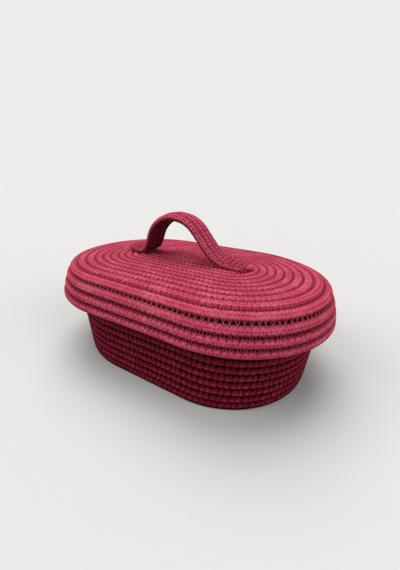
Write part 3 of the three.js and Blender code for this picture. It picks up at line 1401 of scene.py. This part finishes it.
@dataclass
class HandleStrap:
    """The handle: one rope folded into four runs, sewn side by side and arched.

    One leg is steep and the other gentle. The steep leg's foot is towards -X and ends in a
    raised lip, and the gentle leg's is pressed flat under close sewing.
    """

    crown_radius: float = 30.0
    crown_offset: float = -13.0
    crown_top: float = 129.25
    steep_slope: float = 72.0
    gentle_slope: float = 50.0
    steep_bend: float = 10.0
    gentle_bend: float = 22.0
    steep_end: float = -66.0
    gentle_end: float = 56.5
    lid_top: float = 86.9
    half_across: float = 3.22
    half_thick: float = 3.1
    runs: int = 4
    sides: int = 20
    curl: float = 1.3
    lip: float = 1.2
    curl_height: float = 12.0
    gentle_taper: float = 16.0
    gentle_narrowing: float = 0.16
    steep_taper: float = 8.0
    steep_narrowing: float = 0.2
    squash: float = 0.3
    squash_from: float = 20.0
    squash_over: float = 14.0
    foot_height: float = 0.85
    seam_gap: float = 0.02
    foot_fade: float = 4.0
    foot_press: float = 0.35
    under_shade: float = 0.85
    inner_shade: float = 0.8
    low_shade: float = 0.15
    low_from: float = 4.0
    low_over: float = 14.0
    foot_shade: float = 0.07
    tack_pitch: float = 3.6
    tack_dent: float = 1.3
    tack_reach: float = 0.95
    tack_spread: float = 34.0
    tack_sway: float = 24.0
    tack_wave: float = 2.1
    tack_stagger: float = 0.37
    steep_tacks: float = 0.25
    tack_width: float = 4.4
    tack_skin: float = 0.6
    tack_sink: float = 0.75
    # For each foot: how far in its first row of tacks is, the rows' distance and their number.
    gentle_rows: tuple[float, float, int] = (1.5, 4.8, 5)
    steep_rows: tuple[float, float, int] = (4.0, 3.9, 2)
    rim_length: float = 22.0
    # How far along the rim the strap's width is taken.
    rim_gauge: float = 16.0
    rim_corner: float = 7.0
    rim_overhang: float = 1.6
    rim_rise: float = 1.6
    rim_drop: float = 1.2
    rim_inset: float = 3.0
    rim_outset: float = 1.0
    rim_wander: float = 0.7
    stitch: Stitch = Stitch(pitch=LIT_STRAP_BRAID.pitch, dent=0.9, dent_length=0.5)
    tack_stitch: Stitch = Stitch(3.2, thread=0.3, angle=90.0, lift=0.2, sag=0.0, bury=1.2, dent=0.0)
    rim_stitch: Stitch = Stitch(2.9, thread=0.3, angle=90.0, lift=0.3, sag=-0.7, bury=1.2, dent=0.0)
    shift: tuple[float, float] = (-1.5, -0.5)

    @property
    def foot_level(self) -> float:
        """The height of the rope's middle on the feet."""
        return self.lid_top + self.half_thick * self.foot_height

    def profile(self) -> tuple[np.ndarray, np.ndarray]:
        """Finds the strap's middle line from the gentle leg's foot to the steep leg's foot.

        Returns:
            Points in the XZ plane, half a millimetre apart, and the way that each faces.
        """
        crown_z = self.crown_top - self.half_thick - self.crown_radius
        crown = np.array([self.crown_offset, crown_z])

        def arc(middle: np.ndarray, radius: float, start: float, stop: float) -> np.ndarray:
            """Returns points round a circle, between two angles in degrees."""
            angle = np.radians(np.linspace(start, stop, 40))
            return middle + radius * np.stack([np.cos(angle), np.sin(angle)], 1)

        def bend(radius: float, slope: float, side: int) -> np.ndarray:
            """Finds the middle of the bend between a leg and its foot.

            Args:
                radius: the bend's radius.
                slope: the leg's slope, in degrees.
                side: 1 for the leg towards +X, or -1.

            Returns:
                The point in the XZ plane.
            """
            angle = math.radians(slope)
            top_x = self.crown_offset + side * self.crown_radius * math.sin(angle)
            top_z = crown_z + self.crown_radius * math.cos(angle)
            z = self.foot_level + radius
            run = (top_z - z + radius * math.cos(angle)) / math.tan(angle)
            return np.array([top_x + side * (run + radius * math.sin(angle)), z])

        gentle = bend(self.gentle_bend, self.gentle_slope, 1)
        steep = bend(self.steep_bend, self.steep_slope, -1)
        # The steep foot is almost level up to its last five millimetres, where the lip rises.
        points = np.concatenate(
            [
                [[self.gentle_end, self.foot_level]],
                arc(gentle, self.gentle_bend, 270, 270 - self.gentle_slope),
                arc(crown, self.crown_radius, 90 - self.gentle_slope, 90 + self.steep_slope),
                arc(steep, self.steep_bend, 270 + self.steep_slope, 270),
                [[self.steep_end + 5, self.foot_level + 0.1]],
                [[self.steep_end + 2, self.foot_level + self.lip / 2]],
                [[self.steep_end, self.foot_level + self.lip]],
            ]
        )
        reach = lengths(points)
        even = np.linspace(0, reach[-1], int(reach[-1] / 0.5))
        smooth = np.stack([np.interp(even, reach, column) for column in points.T], 1)
        along = unit(np.gradient(smooth, axis=0))
        return smooth, np.stack([along[:, 1], -along[:, 0]], 1)

    def narrowing(self, x: np.ndarray) -> np.ndarray:
        """Finds how much narrower the strap gets on its feet.

        Args:
            x: places along it.

        Returns:
            The share of its full width that it has there.
        """
        gentle = np.clip((x - self.gentle_end + self.gentle_taper) / self.gentle_taper, 0, 1)
        steep = np.clip((self.steep_end + self.steep_taper - x) / self.steep_taper, 0, 1)
        return 1 - self.gentle_narrowing * gentle**1.5 - self.steep_narrowing * steep

    def half_width(self, x: float) -> float:
        """Returns half the width of the whole strap at a place along it."""
        return self.half_across * self.runs * float(self.narrowing(np.array([x]))[0])

    def pressed(self, x: np.ndarray) -> np.ndarray:
        """Returns the share of its thickness that the sewn end loses, at places along it."""
        past = x - self.gentle_end + self.squash_from
        return self.squash * np.clip(past / self.squash_over, 0, 1)

    def run_line(self, row: int) -> tuple[np.ndarray, np.ndarray]:
        """Places one run of the rope.

        Args:
            row: its place across the strap, 0 for the first run.

        Returns:
            Its middle and the way that its upper side faces.
        """
        flat, face = self.profile()
        aside = row - (self.runs - 1) / 2
        y = aside * 2 * self.half_across * self.narrowing(flat[:, 0])
        raised = np.clip((flat[:, 1] - self.foot_level) / self.curl_height, 0, 1)
        drop = self.curl * (abs(aside) > 1) * raised
        drop += self.half_thick * self.pressed(flat[:, 0])
        points = flat - face * drop[:, None]
        centre = np.stack([points[:, 0], y, points[:, 1]], 1)
        centre[:, :2] += self.shift
        return centre, np.stack([face[:, 0], np.zeros(len(flat)), face[:, 1]], 1)

    def groove_length(self, groove: int) -> np.ndarray:
        """Measures along the groove after a run, at the run's own places."""
        return lengths((self.run_line(groove)[0] + self.run_line(groove + 1)[0]) / 2)

    def pull(self, run: int, x: np.ndarray, degrees: np.ndarray) -> np.ndarray:
        """Finds how far the tacks of a foot pull a run in.

        Args:
            run: its number.
            x: places along the strap, in a column.
            degrees: angles round the rope.

        Returns:
            1 in the middle of a tack and 0 away from it, for each place and angle.
        """
        row = x / self.tack_pitch + run * self.tack_stagger
        hole = abs(row - np.round(row)) * self.tack_pitch
        side = 90 + self.tack_sway * np.sin(self.tack_wave * np.round(row) + run)
        away = (hole / self.tack_reach) ** 2 + ((degrees - side) / self.tack_spread) ** 2
        return np.exp(-away) * np.where(x > 0, 1, self.steep_tacks)

    def run_rows(self, run: int) -> dict[str, np.ndarray]:
        """Works out the sections of one run, from the gentle foot to the steep one.

        Args:
            run: its number.

        Returns:
            Their middles, facings, sizes and dents, and the numbers for the material, by name.
        """
        centre, normal = self.run_line(run)
        x = centre[:, :1]
        degrees = np.linspace(0, 360, self.sides + 1)
        cosine, sine = np.cos(np.radians(degrees)), np.sin(np.radians(degrees))
        # The across direction of a run points at +Y where it runs towards -X. The outer sides
        # are sewn too, as far apart as the grooves beside them.
        back, lag = run % 2, self.stitch.skew
        after = self.groove_length(min(run, self.runs - 2))
        before = self.groove_length(max(run - 1, 0))
        relief = self.stitch.dents(after, degrees + 180 * back)
        relief += self.stitch.dents(before, degrees + 180 * (1 - back), lag)
        counts = self.stitch.number(after), self.stitch.number(before) - lag
        foot = np.clip(1 - (centre[:, 2:] - self.foot_level) / self.foot_fade, 0, 1)
        pull = self.pull(run, x, degrees)
        relief -= foot * self.foot_press * abs(sine)
        relief -= foot * self.tack_dent * pull
        inner = np.where(cosine * (-1 if back else 1) > 0, run + 1 < self.runs, run > 0)
        low = np.clip((x - self.low_from) / self.low_over, 0, 1)
        # Painted shade: in the dents, beside the inner grooves, at the tacks, darker along the
        # gentle leg towards +X and on its foot, and on the underside off the feet.
        shades = (
            np.clip(-0.5 * relief * (0.6 + 0.4 * sine), 0, 1),
            self.inner_shade * inner * abs(cosine) ** 10,
            foot * np.clip(1.4 * pull, 0, 1),
            (self.low_shade + self.foot_shade * foot) * low,
            self.under_shade * np.clip(0.5 - sine, 0, 1) * (1 - foot),
        )
        return {
            "centre": centre,
            "normal": normal,
            "half": (self.half_across - self.seam_gap) * self.narrowing(centre[:, 0]),
            "thick": self.half_thick * (1 - self.pressed(centre[:, 0])),
            "relief": relief,
            "shade": np.maximum.reduce(np.broadcast_arrays(*shades)),
            "after": counts[back][:, None],
            "before": counts[1 - back][:, None],
            "sewn": 1 - foot,
        }

    def fold(
        self, rows: dict[str, np.ndarray], target: np.ndarray, side: int
    ) -> dict[str, np.ndarray]:
        """Turns the rope round from the end of one run to the start of the next.

        Args:
            rows: the run's sections.
            target: the middle of the next run's first section.
            side: 1 where the fold points at +X, or -1.

        Returns:
            The fold's sections, as in run_rows.
        """
        turn = np.linspace(0, math.pi, 16)[1:-1]
        fold = {name: np.zeros((len(turn), *old.shape[1:])) for name, old in rows.items()}
        first = rows["centre"][-1]
        middle, spread = (first + target) / 2, (target[1] - first[1]) / 2
        fold["centre"][:, 0] = middle[0] + side * spread * np.sin(turn)
        fold["centre"][:, 1] = middle[1] - spread * np.cos(turn)
        fold["centre"][:, 2] = middle[2]
        fold["normal"] += UP
        fold["half"] += rows["half"][-1]
        fold["thick"] += rows["thick"][-1]
        return fold

    def rope(self) -> bpy.types.Object:
        """Makes the folded rope, dented by its seams.

        Returns:
            The rope's mesh.
        """
        stretches = []
        for run in range(self.runs):
            way = -1 if run % 2 else 1
            rows = {name: values[::way] for name, values in self.run_rows(run).items()}
            stretches.append(rows)
            if run + 1 < self.runs:
                target = self.run_line(run + 1)[0][::way][-1]
                stretches.append(self.fold(rows, target, -way))
        marks = {name: np.concatenate([rows[name] for rows in stretches]) for name in rows}
        line = Line.facing(marks.pop("centre"), marks.pop("normal"))
        half, thick, relief = (marks.pop(name) for name in ("half", "thick", "relief"))
        marks |= {"after_turn": np.zeros((1, 1)), "before_turn": np.full((1, 1), 0.5)}
        tube = Tube(line, half, thick, self.sides, relief=relief, marks=marks)
        return tube.build("handle_rope")

    def seams(self) -> list[bpy.types.Object]:
        """Sews the runs together, on the upper and the under side.

        Returns:
            The threads' meshes.
        """
        made = []
        for groove in range(self.runs - 1):
            first, normal = self.run_line(groove)
            second, _ = self.run_line(groove + 1)
            for side, word in ((1, "above"), (-1, "below")):
                path = self.stitch.path((first, second), normal * side, self.half_thick, 0.0)
                tube = Tube(path, self.stitch.thread, self.stitch.thread, 5)
                made.append(tube.build(f"strap_seam_{word}_{groove + 1}"))
        return made

    def tack(self, name: str, x: float) -> bpy.types.Object:
        """Sews a row of close, uneven stitches across a foot.

        Args:
            name: the object's name.
            x: the row's place along the strap.

        Returns:
            The thread's mesh.
        """
        half = self.half_width(x)
        y = np.linspace(-half, half, 60)
        arch = 1 - (y / half) ** 6
        lost = 2 * float(self.pressed(np.array([x]))[0]) * self.half_thick
        top = self.foot_level - lost + (self.half_thick - self.tack_sink) * arch
        rails = []
        for side in (-1, 1):
            uneven = 0.8 * np.sin(1.9 * y + x + side) + 0.5 * np.sin(4.1 * y + 2 * x)
            across = x + side * self.tack_width / 2 + uneven
            rails.append(np.stack([across + self.shift[0], y + self.shift[1], top], 1))
        stitch = self.tack_stitch
        path = stitch.path(tuple(rails), np.tile(UP, (len(y), 1)), self.tack_skin, 0.0)
        return Tube(path, stitch.thread, stitch.thread, 5).build(name)

    def rim(self) -> bpy.types.Object:
        """Sews the gentle foot's edge down, with stitches that reach over it onto the lid.

        Returns:
            The thread's mesh.
        """
        start = self.gentle_end - self.rim_length
        half = self.half_width(start + self.rim_gauge)
        corner = self.rim_corner
        bend = self.gentle_end + self.rim_overhang - corner
        turn = np.radians(np.linspace(-90, 90, 40))
        side = np.linspace(start, bend, 30)
        round_y = (half - corner) * np.sign(turn) + corner * np.sin(turn)
        x = np.concatenate([side, bend + corner * np.cos(turn), side[::-1]])
        y = np.concatenate([np.full(30, -half), round_y, np.full(30, half)])
        flat = np.stack([x, y, np.zeros(len(x))], 1)
        up = np.tile(UP, (len(x), 1))
        outward = unit(np.cross(np.gradient(flat, axis=0), up))
        flat[:, :2] += self.shift
        wander = self.rim_wander * np.sin(1.1 * np.arange(len(x)))[:, None]
        top = self.foot_level - 2 * self.squash * self.half_thick + self.rim_rise
        inner = flat - (self.rim_inset + wander) * outward + top * up
        below = self.lid_top - self.rim_drop
        outer = flat + (self.rim_outset - 0.5 * wander) * outward + below * up
        stitch = self.rim_stitch
        path = stitch.path((inner, outer), up, self.tack_skin, 0.0)
        return Tube(path, stitch.thread, stitch.thread, 5).build("foot_rim")

    def build(self) -> list[bpy.types.Object]:
        """Makes the rope, its seams and the rows that hold its feet.

        Returns:
            The pieces, dressed and riding on their body.
        """
        rope = self.rope()
        rope.data.materials.append(LIT_STRAP_BRAID.material())
        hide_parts("handle_strap")
        threads = [*self.seams(), self.rim()]
        inset, gap, count = self.gentle_rows
        rows = [self.gentle_end - inset - gap * step for step in range(count)]
        inset, gap, count = self.steep_rows
        rows += [self.steep_end + inset + gap * step for step in range(count)]
        for number, x in enumerate(rows, 1):
            threads.append(self.tack(f"foot_tack_{number}", x))
        for thread in threads:
            thread.data.materials.append(LID_THREAD.material())
        for piece in [rope, *threads]:
            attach(piece, "lid")
        return [rope, *threads]


def stand_on_floor(piece: bpy.types.Object) -> None:
    """Presses flat what would reach below the surface that the basket stands on.

    Args:
        piece: a piece of the basket's body.
    """
    mesh = piece.data
    places = np.empty(len(mesh.vertices) * 3)
    mesh.vertices.foreach_get("co", places)
    places[2::3] = np.maximum(places[2::3], 0)
    mesh.vertices.foreach_set("co", places)
    mesh.update()


@dataclass
class Studio:
    """The floor, the lights and the camera."""

    floor_colour: Colour = paint(212, 211, 209)
    floor_half: float = 8.0
    grain: float = 0.05
    grain_scale: float = 40.0
    backdrop_colour: Colour = paint(237, 236, 234)
    world_strength: float = 0.2
    lamp_width: float = 45.0
    # Each lamp's name, the direction that it shines from and its strength.
    lamps: tuple[tuple[str, Triple, float], ...] = (
        ("key_lamp", (-0.25, 0.3, 1.1), 2.05),
        ("left_lamp", (-0.8, -0.6, 0.8), 1.4),
        ("right_lamp", (1.0, 0.0, 0.6), 1.1),
    )
    camera_place: Triple = (112.64, -192.97, 152.01)
    right: Triple = (0.88207, 0.47112, 0.0)
    up: Triple = (-0.17991, 0.33685, 0.92421)
    forward: Triple = (-0.43541, 0.81522, -0.38188)
    roll: float = -1.948
    lens: float = 15.158
    sensor: float = 36.0

    def floor(self) -> None:
        """Lays a plain pale floor, far larger than the view."""
        sheet = bmesh.new()
        bmesh.ops.create_grid(sheet, x_segments=2, y_segments=2, size=self.floor_half)
        mesh = bpy.data.meshes.new("floor")
        sheet.to_mesh(mesh)
        sheet.free()
        floor = add_object("floor", mesh)
        material = bpy.data.materials.new("floor_paint")
        shader = Shader(material)
        darker = tuple(0.9 * channel for channel in self.floor_colour)
        grain = shader.noise(self.grain_scale, 3.0) * self.grain
        colour = shader.mix(grain, self.floor_colour, darker)
        shader.finish({"Base Color": colour, "Roughness": 0.9, "Specular IOR Level": 0.1})
        mesh.materials.append(material)

    def world(self) -> None:
        """Gives soft light from all round, and a pale background behind the floor."""
        world = bpy.data.worlds.new("studio")
        bpy.context.scene.world = world
        shader = Shader(world)
        kind = "ShaderNodeBackground"
        light = {"Color": (1, 1, 1, 1), "Strength": self.world_strength}
        backdrop = {"Color": self.backdrop_colour, "Strength": 1.0}
        rays = ("Is Camera Ray", "Is Glossy Ray", "Is Transmission Ray")
        seen, glossy, through = (shader.node("ShaderNodeLightPath", output=ray) for ray in rays)
        mixed = {
            "Fac": seen.largest(glossy).largest(through),
            1: shader.node(kind, inputs=light),
            2: shader.node(kind, inputs=backdrop),
        }
        surface = shader.node("ShaderNodeMixShader", inputs=mixed)
        shader.node("ShaderNodeOutputWorld", inputs={"Surface": surface})

    def light(self) -> None:
        """Adds the soft, far lamps that light the whole floor evenly."""
        for name, place, power in self.lamps:
            light = bpy.data.lights.new(name, "SUN")
            light.angle = math.radians(self.lamp_width)
            light.energy = power
            lamp = add_object(name, light)
            lamp.location = place
            lamp.rotation_mode = "QUATERNION"
            lamp.rotation_quaternion = Vector(place).to_track_quat("Z", "Y")

    def camera(self) -> None:
        """Sets the camera at the photograph's viewing angle."""
        data = bpy.data.cameras.new("camera")
        data.lens = self.lens
        data.sensor_width = self.sensor
        data.clip_start = 0.01
        data.clip_end = 50.0
        camera = add_object("camera", data)
        roll = math.radians(self.roll)
        right, up = np.array(self.right), np.array(self.up)
        local_x = right * math.cos(roll) - up * math.sin(roll)
        local_y = right * math.sin(roll) + up * math.cos(roll)
        local_z = -np.array(self.forward)
        turned = Matrix([[*row] for row in np.stack([local_x, local_y, local_z], 1)])
        place = Matrix.Translation([c * MM for c in self.camera_place])
        camera.matrix_world = place @ turned.to_4x4()
        bpy.context.scene.camera = camera

    def build(self) -> None:
        """Sets up everything round the basket."""
        self.camera()
        self.floor()
        self.world()
        self.light()
        bpy.context.scene.view_settings.view_transform = "Standard"


def main() -> None:
    """Builds the basket around its frame and reports each piece."""
    logging.basicConfig(level=logging.INFO, format="%(name)s: %(message)s")
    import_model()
    Studio().build()
    for part in (BasketBody(), Lid(), HandleStrap()):
        for piece in part.build():
            faces = len(piece.data.polygons)
            LOG.info("%s: %s, %d faces", type(part).__name__, piece.name, faces)
    bpy.context.view_layer.update()


if __name__ == "__main__":
    main()
